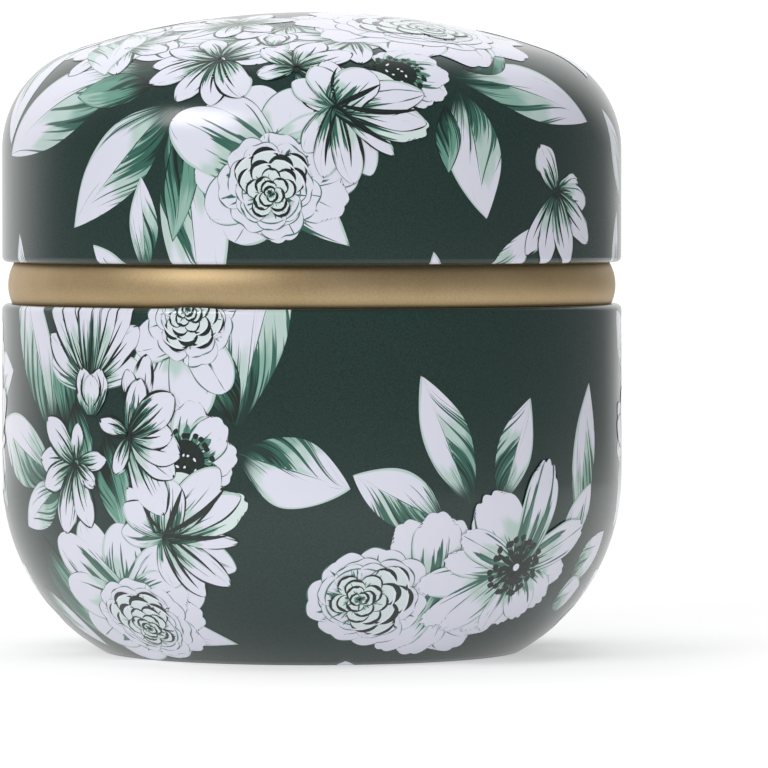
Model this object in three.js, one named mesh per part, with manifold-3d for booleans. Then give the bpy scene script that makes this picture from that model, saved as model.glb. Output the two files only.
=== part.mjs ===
// A round tinplate tea caddy: a drawn body, a gold neck ring, a domed slip lid and a plug lid inside.
// Millimetres, +Z up. The origin is the centre of the foot, on the surface that the tin stands on,
// and -Y is the front of the printed design.
//
// A pressed sheet piece is drawn as the line that the middle of its sheet follows, in (radius, z),
// thickened by half the sheet on each side and spun round the Z axis.

import * as THREE from "three";
import { mergeVertices } from "three/addons/utils/BufferGeometryUtils.js";
import Module from "manifold-3d";

const wasm = await Module();
wasm.setup();

// ---- Overall sizes ---------------------------------------------------------------------------------
const outerDiameter = 85;
const bodyHeight = 47.7; // foot to the top of the body's rolled edge
const bandHeight = 5.75; // the part of the neck ring that shows between body and lid
const lidWallHeight = 15.4; // the lid's edge to the start of its shoulder
const domeHeight = 18.8; // the start of the shoulder to the crown

// ---- Sheet, rolled edges and fits ------------------------------------------------------------------
const sheet = 0.3; // lacquered tinplate
const rollRadius = 0.8; // outside of every rolled edge
const rollTurn = 230; // degrees that a rolled edge turns through
const slipClearance = 0.1; // between the neck ring and the rolled edges round it
const plugClearance = 0.15; // between the plug lid's pan and the neck's rolled edge
const seatGap = 0.05; // between pieces that rest on each other

// ---- Body ------------------------------------------------------------------------------------------
const footDiameter = 57.2;
const footWidth = 2.2; // the flat ring that the tin stands on
const footRecess = 1.2; // height of the bottom panel inside that ring
const recessSlope = 1.4; // radial width of the step up to the panel
const heelRadius = 27.5; // the large round between foot and wall

// ---- Lid -------------------------------------------------------------------------------------------
const shoulderRadius = 14.2;

// ---- Neck ring -------------------------------------------------------------------------------------
const bandBulge = 0.9; // how far the wide gold bead stands out of the neck
const bandTuck = 0.6; // how far that bead runs down inside the body's rolled edge
const neckRise = 9.5; // neck inside the lid, above the lid's edge
const neckDepth = 10; // neck inside the body, below the top of its rolled edge
const lockBulge = 0.5; // the small bead that snaps in under the body's rolled edge
const lockHeight = 2.6;
const lockGap = 0.4;

// ---- Plug lid --------------------------------------------------------------------------------------
const plugDepth = 6; // flange to pan floor
const panCorner = 1.6; // outside bend between the pan's floor and wall
const flangeInset = 0.25; // flange edge inside the neck's outside
const bossRise = 0.8; // raised middle of the pan floor
const bossRadius = 13;
const bossSlope = 1.2;
const sealThickness = 0.8;

// ---- Knob, screw and washer ------------------------------------------------------------------------
const knobHeight = 10;
const knobRadius = 7.5;
const knobEdgeRadius = 1.5;
const knobHeadHeight = 4.6;
const knobFootRadius = 5;
const knobFootHeight = 1.4;
const knobNeckRadius = 4.4; // where the waist meets the head and the foot
const knobWaistCurve = 0.8; // how far the waist curves in from there
const screwRadius = 1.5;
const screwClearance = 0.12; // round the shank, in knob, pan and washer
const screwEngagement = 6.5; // shank inside the knob
const screwTipGap = 0.5; // left above the shank in the knob's blind hole
const screwTipBevel = 0.5;
const screwHeadRadius = 2.9;
const screwHeadHeight = 1.8;
const screwHeadRound = 0.9;
const slotWidth = 0.8;
const slotDepth = 0.9;
const washerRadius = 4.2;
const washerThickness = 0.5;

// ---- Facets round the axis -------------------------------------------------------------------------
const tinFacets = 40;
const knobFacets = 24;

// ---- Places worked out from the sizes above --------------------------------------------------------
const outerRadius = outerDiameter / 2;
const halfSheet = sheet / 2;
const wallLine = outerRadius - halfSheet; // middle of the sheet in the straight walls
const rollLine = rollRadius - halfSheet; // middle of the sheet in a rolled edge
const lidEdgeZ = bodyHeight + bandHeight;
const neckRadius = outerRadius - 2 * rollRadius - slipClearance;
const neckLine = neckRadius - halfSheet;
const neckTopZ = lidEdgeZ + neckRise;
const plugRadius = neckRadius - 2 * rollRadius - plugClearance;
const flangeRadius = neckRadius - flangeInset;
const holeRadius = screwRadius + screwClearance;

// The plug lid's own heights are counted from the top of the neck, where it seats.
const flangeZ = seatGap + sealThickness + seatGap; // underside of the flange
const panFloorZ = flangeZ - plugDepth; // underside of the pan floor
const bossZ = panFloorZ + bossRise; // underside of the raised middle
const knobZ = bossZ + sheet + seatGap; // foot of the knob
const washerZ = bossZ - seatGap - washerThickness;
const screwHeadZ = washerZ - seatGap - screwHeadHeight;

// ---- Lines and arcs in (radius, z) -----------------------------------------------------------------
const at = (radius, z) => new THREE.Vector2(radius, z);

// Points on an arc about a centre, between two angles in degrees. 0 points away from the axis.
function arc(centre, radius, from, to, steps) {
  return Array.from({ length: steps + 1 }, (_, i) => {
    const angle = THREE.MathUtils.degToRad(from + ((to - from) * i) / steps);
    return at(centre.x + radius * Math.cos(angle), centre.y + radius * Math.sin(angle));
  });
}

// An arc that starts and ends on the radius `base` and stands out of it by `bulge`, or goes in when
// the bulge is negative.
function bulgeArc(base, bulge, zLow, zHigh, steps) {
  const half = (zHigh - zLow) / 2;
  const size = Math.abs(bulge);
  const radius = (half * half + size * size) / (2 * size);
  const reach = THREE.MathUtils.radToDeg(Math.asin(half / radius));
  const middle = zLow + half;
  if (bulge > 0) return arc(at(base + size - radius, middle), radius, -reach, reach, steps);
  return arc(at(base - size + radius, middle), radius, 180 + reach, 180 - reach, steps);
}

// A crown that starts on the axis at the height `top`, runs out and turns down round an edge of the
// given centre and radius. Crown and edge meet smoothly, which fixes the crown's radius.
function crownAndEdge(top, edge, edgeRadius, steps) {
  const drop = top - edge.y;
  const radius = (edge.x ** 2 + drop ** 2 - edgeRadius ** 2) / (2 * (drop - edgeRadius));
  const centre = at(0, top - radius);
  const meeting = THREE.MathUtils.radToDeg(Math.atan2(edge.y - centre.y, edge.x));
  return [...arc(centre, radius, 90, meeting, steps), ...arc(edge, edgeRadius, meeting, 0, steps).slice(1)];
}

// The end of a wall rolled inwards: upwards when `sense` is 1, downwards when it is -1.
function rolledEdge(line, endZ, sense) {
  return arc(at(line - rollLine, endZ - sense * rollRadius), rollLine, 0, sense * rollTurn, 5);
}

// The closed outline of a sheet whose middle follows `line`, with mitred corners. A line that starts
// on the axis gives an outline that starts and ends there.
function sheetOutline(line) {
  const direction = (from, to) => to.clone().sub(from).normalize();
  const offset = (distance) =>
    line.map((point, i) => {
      const next = line[i + 1] ?? point.clone().add(direction(line[i - 1], point));
      const last = line[i - 1] ?? point.clone().sub(direction(point, next));
      const into = direction(last, point);
      const along = into.clone().add(direction(point, next)).normalize();
      const normal = at(-along.y, along.x);
      const moved = point.clone().addScaledVector(normal, distance / into.dot(along));
      return point.x === 0 ? at(0, moved.y) : moved;
    });
  const outline = [...offset(halfSheet), ...offset(-halfSheet).reverse()];
  return line[0].x === 0 ? outline : [...outline, outline[0].clone()];
}

// ---- Solids ----------------------------------------------------------------------------------------

// A closed geometry as a manifold-3d solid with its faces pointing out.
function solidOf(geometry) {
  const bare = new THREE.BufferGeometry();
  bare.setAttribute("position", geometry.getAttribute("position"));
  bare.setIndex(geometry.index);
  const merged = mergeVertices(bare, 1e-4);
  const vertProperties = merged.getAttribute("position").array;
  const triVerts = new Uint32Array(merged.index.array);
  const solid = new wasm.Manifold(new wasm.Mesh({ numProp: 3, vertProperties, triVerts }));
  if (solid.volume() > 0) return solid;
  return new wasm.Manifold(new wasm.Mesh({ numProp: 3, vertProperties, triVerts: triVerts.reverse() }));
}

// An outline spun round the Z axis. LatheGeometry spins round Y, so it is stood up afterwards.
function spun(outline, facets) {
  return solidOf(new THREE.LatheGeometry(outline, facets).rotateX(Math.PI / 2));
}

function ring(inner, outer, low, high, facets) {
  const section = [at(inner, low), at(outer, low), at(outer, high), at(inner, high), at(inner, low)];
  return spun(section, facets);
}

// ---- The tin's pieces ------------------------------------------------------------------------------

function bodyShell() {
  const heelX = outerRadius - heelRadius;
  const footRadius = footDiameter / 2;
  const heel = at(heelX, Math.sqrt(heelRadius ** 2 - (footRadius - heelX) ** 2));
  const heelLine = heelRadius - halfSheet;
  const heelStart = -THREE.MathUtils.radToDeg(Math.asin((heel.y - halfSheet) / heelLine));
  const footInside = footRadius - footWidth;
  return spun(
    sheetOutline([
      at(0, footRecess + halfSheet),
      at(footInside - recessSlope, footRecess + halfSheet),
      at(footInside, halfSheet),
      ...arc(heel, heelLine, heelStart, 0, 7),
      ...rolledEdge(wallLine, bodyHeight, 1),
    ]),
    tinFacets,
  );
}

// Heights from the lid's edge.
function lidShell() {
  const shoulder = at(outerRadius - shoulderRadius, lidWallHeight);
  const crown = lidWallHeight + domeHeight;
  return spun(
    sheetOutline([
      ...crownAndEdge(crown - halfSheet, shoulder, shoulderRadius - halfSheet, 5),
      ...rolledEdge(wallLine, 0, -1),
    ]),
    tinFacets,
  );
}

function neckRing() {
  const lockTop = bodyHeight - 2 * rollRadius - lockGap;
  return spun(
    sheetOutline([
      at(neckLine, bodyHeight - neckDepth),
      ...bulgeArc(neckLine, lockBulge, lockTop - lockHeight, lockTop, 4),
      ...bulgeArc(neckLine, bandBulge, bodyHeight - bandTuck, lidEdgeZ, 8),
      ...rolledEdge(neckLine, neckTopZ, 1),
    ]),
    tinFacets,
  );
}

// ---- The plug lid's pieces, with heights from the top of the neck ----------------------------------

function plugPan() {
  const plugLine = plugRadius - halfSheet;
  const cornerLine = panCorner - halfSheet;
  const corner = at(plugLine - cornerLine, panFloorZ + panCorner);
  return spun(
    sheetOutline([
      at(holeRadius, bossZ + halfSheet),
      at(bossRadius - bossSlope, bossZ + halfSheet),
      at(bossRadius, panFloorZ + halfSheet),
      ...arc(corner, cornerLine, -90, 0, 3),
      at(plugLine, flangeZ + halfSheet),
      at(flangeRadius, flangeZ + halfSheet),
    ]),
    tinFacets,
  );
}

// Heights from the knob's foot.
function knob() {
  const headZ = knobHeight - knobHeadHeight;
  const edge = at(knobRadius - knobEdgeRadius, headZ + knobEdgeRadius);
  const holeTop = screwEngagement + screwTipGap;
  return spun(
    [
      ...crownAndEdge(knobHeight, edge, knobEdgeRadius, 4),
      ...arc(edge, knobEdgeRadius, 0, -90, 3).slice(1),
      ...bulgeArc(knobNeckRadius, -knobWaistCurve, knobFootHeight, headZ, 4).reverse(),
      at(knobFootRadius, knobFootHeight),
      at(knobFootRadius, 0),
      at(holeRadius, 0),
      at(holeRadius, holeTop),
      at(0, holeTop),
    ],
    knobFacets,
  );
}

// Heights from the bottom of the screw's head, which is slotted from below.
function screw() {
  const tip = knobZ - screwHeadZ + screwEngagement;
  const shape = spun(
    [
      at(0, 0),
      ...arc(at(screwHeadRadius - screwHeadRound, screwHeadRound), screwHeadRound, -90, 0, 3),
      at(screwHeadRadius, screwHeadHeight),
      at(screwRadius, screwHeadHeight),
      at(screwRadius, tip - screwTipBevel),
      at(screwRadius - screwTipBevel, tip),
      at(0, tip),
    ],
    knobFacets,
  );
  const slot = new THREE.BoxGeometry(3 * screwHeadRadius, slotWidth, 2 * slotDepth);
  return shape.subtract(solidOf(slot));
}

// ---- The assembly ----------------------------------------------------------------------------------

const printedTin = { color: 0x2a3d3a, roughness: 0.35, metalness: 0.1 };
const goldLacquer = { color: 0xb79d72, roughness: 0.35, metalness: 0.9 };
const polishedAluminium = { color: 0xc9ccce, roughness: 0.3, metalness: 1 };
const zincSteel = { color: 0xb4b7ba, roughness: 0.35, metalness: 1 };
const whiteSilicone = { color: 0xe4e2dc, roughness: 0.6, metalness: 0 };

// A solid as a named mesh, at its height in the group that it is added to.
function piece(name, solid, z, finish) {
  const { vertProperties, triVerts } = solid.getMesh();
  const geometry = new THREE.BufferGeometry();
  geometry.setAttribute("position", new THREE.BufferAttribute(vertProperties, 3));
  geometry.setIndex(new THREE.BufferAttribute(triVerts, 1));
  geometry.computeVertexNormals();
  const mesh = new THREE.Mesh(geometry, new THREE.MeshStandardMaterial(finish));
  mesh.name = name;
  mesh.position.z = z;
  return mesh;
}

const seal = ring(plugRadius + seatGap, flangeRadius, 0, sealThickness, tinFacets);
const washer = ring(holeRadius, washerRadius, 0, washerThickness, knobFacets);

const plugLid = new THREE.Group();
plugLid.position.z = neckTopZ;
plugLid.add(
  piece("inner_lid", plugPan(), 0, goldLacquer),
  piece("inner_lid_seal", seal, seatGap, whiteSilicone),
  piece("inner_lid_knob", knob(), knobZ, polishedAluminium),
  piece("knob_washer", washer, washerZ, zincSteel),
  piece("knob_screw", screw(), screwHeadZ, zincSteel),
);

const caddy = new THREE.Group();
caddy.add(
  piece("body_shell", bodyShell(), 0, printedTin),
  piece("neck_ring", neckRing(), 0, goldLacquer),
  piece("lid_shell", lidShell(), lidEdgeZ, printedTin),
  plugLid,
);

export default caddy;
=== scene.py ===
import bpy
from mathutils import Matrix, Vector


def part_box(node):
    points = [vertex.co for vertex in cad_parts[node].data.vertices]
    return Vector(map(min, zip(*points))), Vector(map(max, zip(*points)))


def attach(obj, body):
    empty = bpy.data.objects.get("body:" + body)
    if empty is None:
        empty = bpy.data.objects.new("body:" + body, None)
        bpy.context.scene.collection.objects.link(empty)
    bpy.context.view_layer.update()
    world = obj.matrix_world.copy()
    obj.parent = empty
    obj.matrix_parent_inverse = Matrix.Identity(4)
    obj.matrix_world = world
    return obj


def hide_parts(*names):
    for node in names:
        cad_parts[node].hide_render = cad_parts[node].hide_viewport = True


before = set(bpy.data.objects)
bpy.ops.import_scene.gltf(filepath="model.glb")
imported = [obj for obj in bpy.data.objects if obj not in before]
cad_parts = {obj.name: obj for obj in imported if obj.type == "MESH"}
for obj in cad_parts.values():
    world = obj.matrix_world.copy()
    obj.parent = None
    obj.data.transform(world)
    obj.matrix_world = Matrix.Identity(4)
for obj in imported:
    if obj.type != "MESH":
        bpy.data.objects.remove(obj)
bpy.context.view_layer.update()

import copy
import math
import random

import bmesh
import bpy
from bpy.props import FloatProperty, FloatVectorProperty, IntProperty, PointerProperty
from mathutils import Vector

bl_info = {
    "name": "Printed tea caddy",
    "version": (1, 0, 0),
    "blender": (4, 5, 0),
    "location": "3D View > Sidebar > Tea caddy",
    "description": "Models a round tinplate tea caddy printed with white flowers, round its CAD frame",
    "category": "Object",
}

# ---- Sizes, in millimetres ---------------------------------------------------------------------------
# Heights and widths come from the frame. The rest are the sheet-metal sizes that the frame's solids have.

MM = 0.001


def node_box(name):
    low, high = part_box(name)
    return low / MM, high / MM


body_high = node_box("body_shell")[1]
lid_low, lid_high = node_box("lid_shell")
neck_low, neck_high = node_box("neck_ring")
pan_low, pan_high = node_box("inner_lid")
seal_low, seal_high = node_box("inner_lid_seal")
knob_low, knob_high = node_box("inner_lid_knob")
screw_low, screw_high = node_box("knob_screw")
washer_low, washer_high = node_box("knob_washer")

OUTER = body_high.x
RIM = body_high.z
EDGE = lid_low.z
CROWN = lid_high.z

# Sheet and rolled edges: a roll's outside radius, the degrees it turns through, and the gap round the neck.
SHEET = 0.3
HALF = SHEET / 2
ROLL = 0.8
ROLL_TURN = 230
SLIP = 0.1

# Body and lid: the flat ring that the tin stands on, the panel inside it, and the large rounds.
FOOT = 28.6
FOOT_WIDTH = 2.2
FOOT_RECESS = 1.2
RECESS_SLOPE = 1.4
RECESS_ROUND = 0.6
HEEL = 27.5
SHOULDER = 14.2
LID_WALL = 15.4

# Neck ring: the gold bead, how far it runs down inside the body, and the small bead that locks it there.
NECK = OUTER - 2 * ROLL - SLIP
BAND_BULGE = 0.9
BAND_TUCK = 0.6
LOCK_BULGE = 0.5
LOCK_HEIGHT = 2.6
LOCK_GAP = 0.4

# Plug lid: its pan, the raised boss in the pan's floor, and the seal round it.
PLUG_GAP = 0.15
PLUG = NECK - 2 * ROLL - PLUG_GAP
PAN_CORNER = 1.6
BOSS = 13.0
BOSS_SLOPE = 1.2
BOSS_RISE = 0.8
BOSS_ROUND = 0.5
SEAL_GAP = 0.05

# Knob, and the screw and washer that hold it.
KNOB_EDGE = 1.5
KNOB_HEAD = 4.6
KNOB_FOOT = 5.0
KNOB_FOOT_HEIGHT = 1.4
KNOB_FOOT_ROUND = 0.3
KNOB_NECK = 4.4
KNOB_WAIST = 0.8
HOLE = 1.62
HOLE_SPARE = 0.5
SHANK = 1.5
SHANK_CHAMFER = 0.5
HEAD_ROUND = 0.9
SLOT_WIDTH = 0.8
SLOT_DEPTH = 0.9
HEAD_HEIGHT = 1.8
SMALL_BEVEL = 0.12

# Facets, the degrees from which an edge stays sharp, and the distances at which corners are joined.
HEEL_STEPS = 30
ROLL_STEPS = 24
ROLL_CUTS = 8
BEAD_STEPS = 28
KNOB_STEPS = 120
SMALL_STEPS = 96
SHARP_ANGLE = 38
WELD = 0.0005
INK_WELD = 0.0002

# ---- Lines and arcs in (radius, height) --------------------------------------------------------------


def arc(centre, radius, start, end, steps):
    """Points round a centre, between two angles in degrees. 0 points away from the tin's axis."""
    turns = [math.radians(start + (end - start) * i / steps) for i in range(steps + 1)]
    return [Vector((centre[0] + radius * math.cos(a), centre[1] + radius * math.sin(a))) for a in turns]


def bulge_arc(base, bulge, low, high, steps):
    """An arc that starts and ends on the radius base and stands out of it, or in if bulge is negative."""
    half, size = (high - low) / 2, abs(bulge)
    radius = (half * half + size * size) / (2 * size)
    reach = math.degrees(math.asin(half / radius))
    if bulge > 0:
        return arc((base + size - radius, low + half), radius, -reach, reach, steps)
    return arc((base - size + radius, low + half), radius, 180 + reach, 180 - reach, steps)


def crown_circle(top, edge, edge_radius):
    """Radius and centre height of a crown that meets a round edge smoothly, and the angle where it does."""
    drop = top - edge[1]
    radius = (edge[0] ** 2 + drop**2 - edge_radius**2) / (2 * (drop - edge_radius))
    return radius, top - radius, math.degrees(math.atan2(edge[1] - top + radius, edge[0]))


def crown_and_edge(top, edge, edge_radius, steps):
    radius, height, meeting = crown_circle(top, edge, edge_radius)
    outer = arc(edge, edge_radius, meeting, 0, steps)
    return arc((0, height), radius, 90, meeting, steps) + outer[1:]


def rolled_edge(line, end, sense):
    """A wall's end rolled inwards, at the top when sense is 1 and at the bottom when it is -1."""
    return arc((line - ROLL + HALF, end - sense * ROLL), ROLL - HALF, 0, sense * ROLL_TURN, ROLL_STEPS)


def ring_line(inner, low, high):
    """Round a flat ring from its hole to its box's side, with rounded outer edges."""
    edge, outer = SMALL_BEVEL, high.x - SMALL_BEVEL
    return [
        Vector((inner, low.z)),
        *arc((outer, low.z + edge), edge, -90, 0, 4),
        *arc((outer, high.z - edge), edge, 0, 90, 4),
        Vector((inner, high.z)),
        Vector((inner, low.z)),
    ]


def sheet_sides(line):
    """The left and the right side of a sheet whose middle follows a line, with mitred corners."""
    sides = []
    for distance in (HALF, -HALF):
        side = []
        for i, point in enumerate(line):
            into = (point - line[i - 1] if i else line[1] - point).normalized()
            out = (line[i + 1] - point if i + 1 < len(line) else into).normalized()
            along = (into + out).normalized()
            moved = point + Vector((-along.y, along.x)) * (distance / into.dot(along))
            side.append(Vector((0 if point.x == 0 else moved.x, moved.y)))
        sides.append(side)
    return sides


# ---- Meshes ------------------------------------------------------------------------------------------


def spin_line(bm, line, slot, steps):
    """Adds a line of (radius, height) points spun round the tin's axis, as faces of one material."""
    side = bmesh.new()
    points = [side.verts.new((p[0], 0, p[1])) for p in line]
    edges = [side.edges.new(pair) for pair in zip(points, points[1:])]
    bmesh.ops.spin(side, geom=points + edges, cent=(0, 0, 0), axis=(0, 0, 1), angle=math.tau,
                   steps=steps, use_merge=True)
    for face in side.faces:
        face.material_index = slot
    spun = emptied(side, "spun")
    bm.from_mesh(spun)
    bpy.data.meshes.remove(spun)


def placed(name, data):
    """An object at the origin, in the scene."""
    made = bpy.data.objects.new(name, data)
    bpy.context.scene.collection.objects.link(made)
    return made


def emptied(bm, name):
    """The mesh that a bmesh holds. The bmesh is freed."""
    mesh = bpy.data.meshes.new(name)
    bm.to_mesh(mesh)
    bm.free()
    return mesh


def finished(bm, name, materials, body, nodes=(), closed=True):
    """Makes a bmesh in millimetres a smooth piece in metres, which rides on a body and may stand for CAD
    nodes. A closed one is welded and gets its sharp edges."""
    if closed:
        bmesh.ops.remove_doubles(bm, verts=bm.verts, dist=WELD)
        bmesh.ops.recalc_face_normals(bm, faces=bm.faces)
    bmesh.ops.scale(bm, vec=(MM, MM, MM), verts=bm.verts)
    for face in bm.faces:
        face.smooth = True
    mesh = emptied(bm, name)
    if closed:
        mesh.set_sharp_from_angle(angle=math.radians(SHARP_ANGLE))
    for material in materials:
        mesh.materials.append(material)
    piece = placed(name, mesh)
    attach(piece, body)
    if nodes:
        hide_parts(*nodes)
    return piece


def sheet_piece(name, line, materials, body, node):
    """A spun sheet. Its left side wears the first material, its right side and cut edges the last."""
    bm = bmesh.new()
    steps, last = bpy.context.scene.caddy_metal.round_steps, len(materials) - 1
    left, right = sheet_sides(line)
    spin_line(bm, left, 0, steps)
    spin_line(bm, right, last, steps)
    spin_line(bm, [left[-1], right[-1]], last, steps)
    if line[0].x > 0:
        spin_line(bm, [left[0], right[0]], last, steps)
    return finished(bm, name, materials, body, [node])


# ---- Materials ---------------------------------------------------------------------------------------


def linear(code):
    """An sRGB colour such as "#2A3D3A" as linear red, green, blue and alpha."""
    parts = [int(code[i : i + 2], 16) / 255 for i in (1, 3, 5)]
    return [c / 12.92 if c <= 0.04045 else ((c + 0.055) / 1.055) ** 2.4 for c in parts] + [1.0]


def add(tree, kind, inputs=(), out=0, **settings):
    """Adds a node and returns its output. Inputs are values or other nodes' outputs, by name or number."""
    made = tree.nodes.new("ShaderNode" + kind)
    for name, value in settings.items():
        setattr(made, name, value)
    for key, value in dict(inputs).items():
        if isinstance(value, bpy.types.NodeSocket):
            tree.links.new(value, made.inputs[key])
        else:
            made.inputs[key].default_value = value
    return made.outputs[out] if made.outputs else None


def new_material(name):
    material = bpy.data.materials.new(name)
    material.use_nodes = True
    material.node_tree.nodes.clear()
    return material, material.node_tree


# The white that the flowers are printed in, the greens washed over it, and the darkest ink.
LIGHT = "#D2D3E0"
WASHES = ("#B0C4BF", "#80A699", "#2E5D50")
BLACK_GREEN = "#0E1D1A"


def varnished(tree, colour):
    """Ends a printed material in the clear satin varnish that lies over the whole print. It is rolled on,
    so it has a very fine orange peel, drawn here at 0.3 mm, which is as fine as shows."""
    metal = bpy.context.scene.caddy_metal
    place = add(tree, "TexCoord", out="Object")
    peel = add(tree, "TexNoise", {"Vector": place, "Scale": 1 / (metal.grain * 1.2), "Detail": 2.0})
    bump = add(tree, "Bump", {"Height": peel, "Strength": 0.06, "Distance": 0.00005})
    surface = add(tree, "BsdfPrincipled", {
        "Base Color": colour, "Roughness": 0.6, "IOR": 1.5, "Specular IOR Level": 0.1, "Normal": bump,
        "Coat Weight": 1.0, "Coat Roughness": metal.varnish_roughness, "Coat IOR": 1.5,
    })
    add(tree, "OutputMaterial", {"Surface": surface})


def green_print():
    """Dark green printing ink under varnish. The screen of the print leaves a fine even speckle, and the
    ink's tone drifts a little from place to place."""
    material, tree = new_material("green_print_ink")
    metal = bpy.context.scene.caddy_metal
    place = add(tree, "TexCoord", out="Object")
    screen = {"Vector": place, "Scale": 1 / metal.grain, "Detail": 3.0, "Roughness": 0.7}
    speckle = add(tree, "TexNoise", screen)
    cloud = add(tree, "TexNoise", {"Vector": place, "Scale": 60.0, "Detail": 2.0})
    dark = add(tree, "Mix", {0: cloud, 6: linear("#081915"), 7: linear("#0C201D")}, 2, data_type="RGBA")
    light = add(tree, "Mix", {0: cloud, 6: linear("#163530"), 7: linear("#183934")}, 2, data_type="RGBA")
    grains = add(tree, "MapRange", {"Value": speckle, "From Min": 0.3, "From Max": 0.7})
    varnished(tree, add(tree, "Mix", {0: grains, 6: dark, 7: light}, 2, data_type="RGBA"))
    return material


def flower_ink(name, reach, count, hem, outline, light=LIGHT, wash=WASHES, dark=BLACK_GREEN,
               slant=0.0, half=0.0, weight=0.42, root=0.0, rib=0.0):
    """Ink of a leaf or petal, painted along its own length and width as brush work would be: a light
    ground, soft green washes and dark hair strokes that start at its base, and an outline that comes and
    goes. reach is how far up the washes go, count the number of hair strokes across, slant turns them off
    the midrib, half carries the shade further up the right half, hem is the width in mm of a wash along
    the left edge, outline the line's width in mm at the left, right and tip, weight is how much the strokes
    thicken in the wash, root darkens the base and rib is half the midrib's share of the width."""
    material, tree = new_material(name)
    place = add(tree, "Attribute", out="Vector", attribute_name="place")
    edges = add(tree, "Attribute", out="Vector", attribute_name="edges")
    along, across, seed = add(tree, "SeparateXYZ", {0: place}, slice(0, 3))
    aside = add(tree, "Math", {0: across}, operation="ABSOLUTE")
    spread = add(tree, "CombineXYZ", {0: along, 1: across, 2: aside})
    over, up = (slant * count, (1 - slant) * count / 2, -slant * count / 2), (1 - slant, 0, slant * 1.5)
    row = add(tree, "VectorMath", {0: spread, 1: over}, "Value", operation="DOT_PRODUCT")
    run = add(tree, "VectorMath", {0: spread, 1: up}, "Value", operation="DOT_PRODUCT")
    hair_place = add(tree, "CombineXYZ", {0: row, 1: run, 2: seed})
    hair = add(tree, "TexNoise", {"Vector": hair_place, "Scale": 1.0, "Detail": 2.0, "Roughness": 0.6})
    pool_place = add(tree, "CombineXYZ", {0: across, 1: along, 2: seed})
    pool = add(tree, "TexNoise", {"Vector": pool_place, "Scale": 1.7, "Detail": 1.0})
    press_place = add(tree, "CombineXYZ", {0: along, 1: seed, 2: across})
    press = add(tree, "TexNoise", {"Vector": press_place, "Scale": 3.0, "Detail": 0.0})
    shaded = add(tree, "MapRange", {"Value": across, "From Min": -0.06, "From Max": 0.06, "To Max": half})
    height = add(tree, "Math", {0: along, 1: shaded}, operation="SUBTRACT")
    low = add(tree, "MapRange", {"Value": height, "From Min": reach, "From Max": -0.1})
    wet = add(tree, "Math", {0: pool, 1: 0.8, 2: low}, operation="MULTIPLY_ADD")
    thick = add(tree, "Math", {0: low, 1: weight, 2: hair}, operation="MULTIPLY_ADD")
    nearness = add(tree, "VectorMath", {0: edges, 1: outline}, operation="DIVIDE")
    left, right, tip = add(tree, "SeparateXYZ", {0: nearness}, slice(0, 3))
    hemmed = add(tree, "Math", {0: left, 1: outline[0] / max(hem, 0.01), 2: pool}, operation="MULTIPLY_ADD")
    side = add(tree, "Math", {0: left, 1: right}, operation="MINIMUM")
    rim = add(tree, "Math", {0: side, 1: tip}, operation="MINIMUM")
    lifted = add(tree, "Math", {0: press, 1: 3.2, 2: rim}, operation="MULTIPLY_ADD")
    soft = {"interpolation_type": "SMOOTHSTEP"}
    pale, deep, fine, bold, border, rooted, line = (
        add(tree, "MapRange", {"Value": value, "From Min": start, "From Max": end}, **soft)
        for value, start, end in (
            (wet, 0.66, 0.84), (wet, 0.98, 1.24), (thick, 0.66, 0.70), (thick, 0.78, 0.82),
            (hemmed, 1.1, 0.9), (along, root, root * 0.2), (lifted, 2.5, 2.1),
        )
    )
    pale = add(tree, "Math", {0: pale, 1: border}, operation="MAXIMUM")
    coats = [(pale, wash[0]), (deep, wash[1]), (fine, wash[2]), (bold, dark)]
    if root:
        coats.append((rooted, dark))
    if rib:
        rib_width = add(tree, "Math", {0: along, 1: -rib, 2: rib * 0.8}, operation="MULTIPLY_ADD")
        coats.append((add(tree, "Math", {0: aside, 1: rib_width}, operation="LESS_THAN"), wash[2]))
    colour = linear(light)
    for share, tone in (*coats, (line, dark)):
        colour = add(tree, "Mix", {0: share, 6: colour, 7: linear(tone)}, 2, data_type="RGBA")
    varnished(tree, colour)
    return material


def line_ink(name, first, second):
    """A solid ink of brush lines and dots, a little uneven along the stroke as a loaded brush leaves it."""
    material, tree = new_material(name)
    place = add(tree, "Attribute", out="Vector", attribute_name="place")
    load = add(tree, "TexNoise", {"Vector": place, "Scale": 3.0, "Detail": 1.0})
    uneven = add(tree, "MapRange", {"Value": load, "From Min": 0.35, "From Max": 0.65})
    varnished(tree, add(tree, "Mix", {0: uneven, 6: linear(first), 7: linear(second)}, 2, data_type="RGBA"))
    return material


def gold_lacquer():
    """Gold lacquer on tinplate: a tinted clear coat over bright metal. It is satin, with a very fine grain
    from the rolled sheet, and warmer where the coat pools."""
    material, tree = new_material("gold_lacquered_tinplate")
    metal = bpy.context.scene.caddy_metal
    place = add(tree, "TexCoord", out="Object")
    sheet = {"Vector": place, "Scale": 1 / metal.grain, "Detail": 3.0, "Roughness": 0.7}
    grain = add(tree, "TexNoise", sheet)
    pools = add(tree, "TexNoise", {"Vector": place, "Scale": 150.0, "Detail": 1.0})
    gold = add(tree, "Mix", {0: pools, 6: (*metal.gold, 1.0), 7: linear("#B8A078")}, 2, data_type="RGBA")
    spread = {"Value": grain, "From Min": 0.3, "From Max": 0.7}
    uneven = add(tree, "MapRange", {**spread, "To Min": 0.84, "To Max": 1.1})
    rough = add(tree, "MapRange", {**spread, "To Min": 0.46, "To Max": 0.56})
    colour = add(tree, "VectorMath", {0: gold, "Scale": uneven}, operation="SCALE")
    bump = add(tree, "Bump", {"Height": grain, "Strength": 0.12, "Distance": 0.00005})
    surface = add(tree, "BsdfPrincipled", {
        "Base Color": colour, "Metallic": 1.0, "Roughness": rough, "Normal": bump,
    })
    add(tree, "OutputMaterial", {"Surface": surface})
    return material


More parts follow.
